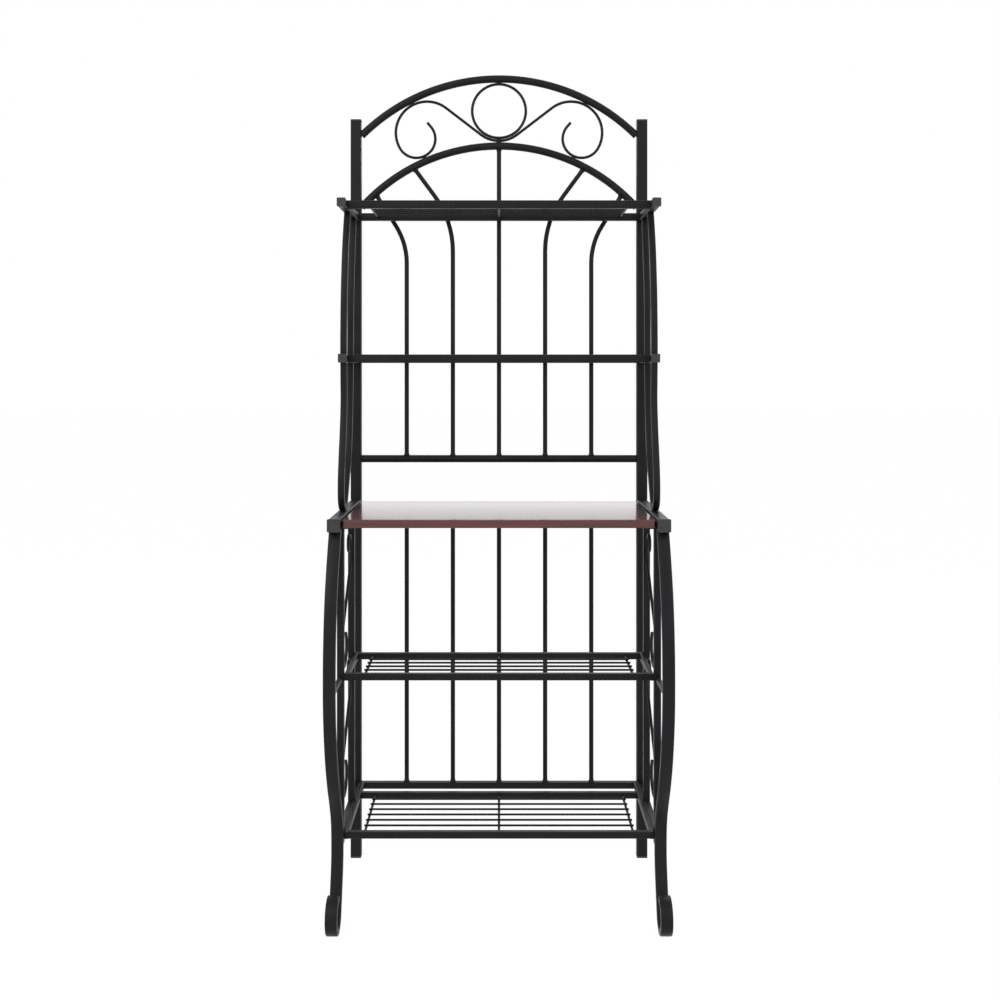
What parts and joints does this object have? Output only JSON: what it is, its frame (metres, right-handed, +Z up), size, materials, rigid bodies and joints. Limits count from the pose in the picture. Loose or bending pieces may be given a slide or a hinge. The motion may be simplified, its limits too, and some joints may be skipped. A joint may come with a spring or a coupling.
{
  "type": "bakers rack",
  "caption": "Free-standing bakers rack of black steel tube and wire with an arched scrolled back, open grid shelves and a wood-look worktop board.",
  "frame": {"origin": "on the floor, at the centre of the footprint box", "axes": "+Z up, +X to the right, the front faces -Y"},
  "size_m": [0.637, 0.4314, 1.676],
  "materials": {
    "steel_black": "satin black powder coat",
    "wire_black": "satin black powder coat on wire",
    "cap_plastic": "matt dark grey moulded plastic",
    "laminate": "glossy cherry wood-grain laminate"
  },
  "bodies": {
    "root": {"crest_arch": "steel_black", "inner_arch": "steel_black", "crest_ring": "wire_black", "crest_scroll_wire": "wire_black", "upper_back_rail": "steel_black", "lower_back_top_rail": "steel_black", "lower_back_bottom_rail": "steel_black", "worktop_board": "laminate", "upper_spindle_1": "steel_black", "upper_spindle_2": "steel_black", "upper_spindle_3": "steel_black", "upper_spindle_4": "steel_black", "upper_spindle_5": "steel_black", "lower_spindle_1": "steel_black", "lower_spindle_2": "steel_black", "lower_spindle_3": "steel_black", "lower_spindle_4": "steel_black", "lower_spindle_5": "steel_black", "upper_upright_left": "steel_black", "lower_upright_left": "steel_black", "upright_cap_left": "cap_plastic", "rear_foot_left": "cap_plastic", "front_leg_left": "steel_black", "front_post_left": "steel_black", "rear_post_left": "steel_black", "side_bottom_rail_left": "steel_black", "side_scroll_upper_left": "wire_black", "side_scroll_lower_left": "wire_black", "worktop_arm_left": "steel_black", "arm_cap_left": "cap_plastic", "lower_brace_left": "steel_black", "upper_brace_front_left": "steel_black", "upper_brace_rear_left": "steel_black", "top_shelf_cap_left": "cap_plastic", "second_shelf_cap_left": "cap_plastic", "upper_upright_right": "steel_black", "lower_upright_right": "steel_black", "upright_cap_right": "cap_plastic", "rear_foot_right": "cap_plastic", "front_leg_right": "steel_black", "front_post_right": "steel_black", "rear_post_right": "steel_black", "side_bottom_rail_right": "steel_black", "side_scroll_upper_right": "wire_black", "side_scroll_lower_right": "wire_black", "worktop_arm_right": "steel_black", "arm_cap_right": "cap_plastic", "lower_brace_right": "steel_black", "upper_brace_front_right": "steel_black", "upper_brace_rear_right": "steel_black", "top_shelf_cap_right": "cap_plastic", "second_shelf_cap_right": "cap_plastic", "top_shelf_frame": "steel_black", "top_shelf_grid": "wire_black", "second_shelf_frame": "steel_black", "second_shelf_grid": "wire_black", "middle_shelf_frame": "steel_black", "middle_shelf_grid": "wire_black", "bottom_shelf_frame": "steel_black", "bottom_shelf_grid": "wire_black"}
  },
  "joints": []
}
